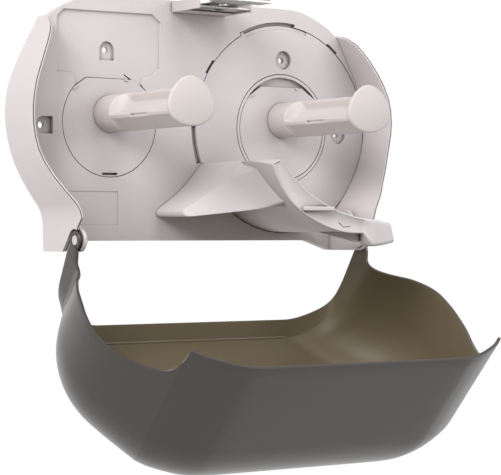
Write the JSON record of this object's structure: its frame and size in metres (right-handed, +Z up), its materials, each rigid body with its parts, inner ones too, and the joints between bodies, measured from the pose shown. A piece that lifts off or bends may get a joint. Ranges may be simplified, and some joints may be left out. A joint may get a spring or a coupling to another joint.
{
  "type": "double roll toilet paper dispenser",
  "caption": "Wall dispenser for two toilet rolls side by side, with fixed pegs, a turning shutter and a smoked cover hinged at the bottom, shown open.",
  "frame": {"origin": "on the wall plane, midway between the two roll pegs and level with the centre of the turning shutter ring", "axes": "+X to the right seen from the front, +Y into the wall, +Z up"},
  "size_m": [0.3304, 0.2188, 0.3498],
  "materials": {
    "plate_plastic": "warm grey-white moulded plastic, satin",
    "peg_plastic": "warm white moulded plastic, satin",
    "shutter_plastic": "grey-white moulded plastic, satin",
    "smoked_plastic": "dark smoked translucent plastic, smooth",
    "bright_steel": "stamped steel, bright",
    "plated_steel": "zinc plated"
  },
  "bodies": {
    "base": {"back_plate": "plate_plastic", "left_hub": "plate_plastic", "right_hub": "plate_plastic", "left_peg": "peg_plastic", "right_peg": "peg_plastic", "left_peg_screw": "plated_steel", "right_peg_screw": "plated_steel", "left_hinge_pin": "peg_plastic", "right_hinge_pin": "peg_plastic", "latch_housing": "plate_plastic", "latch_frame": "bright_steel", "latch_pin": "plated_steel", "latch_spring": "plated_steel", "left_latch_screw": "plated_steel", "right_latch_screw": "plated_steel"},
    "shutter": {"shutter_ring": "shutter_plastic", "shutter_paddle": "shutter_plastic"},
    "lid": {"cover": "smoked_plastic", "cover_catch": "bright_steel", "left_catch_screw": "plated_steel", "right_catch_screw": "plated_steel"},
    "bolt": {"latch_bolt": "bright_steel"}
  },
  "joints": [
    {"name": "cover_hinge", "type": "hinge", "parent": "base", "child": "lid", "pos_m": [0, -0.0464, -0.0881], "axis": [1, 0, 0], "range_deg": [-130, 0]},
    {"name": "shutter_turn", "type": "hinge", "parent": "base", "child": "shutter", "pos_m": [0.08, -0.0072, 0], "axis": [0, 1, 0], "range_deg": [0, 34]},
    {"name": "latch_release", "type": "hinge", "parent": "base", "child": "bolt", "pos_m": [0, -0.02, 0.0912], "axis": [1, 0, 0], "range_deg": [0, 3.2], "stiffness_Nm_per_rad": 0.1, "springref_deg": -8.59}
  ]
}
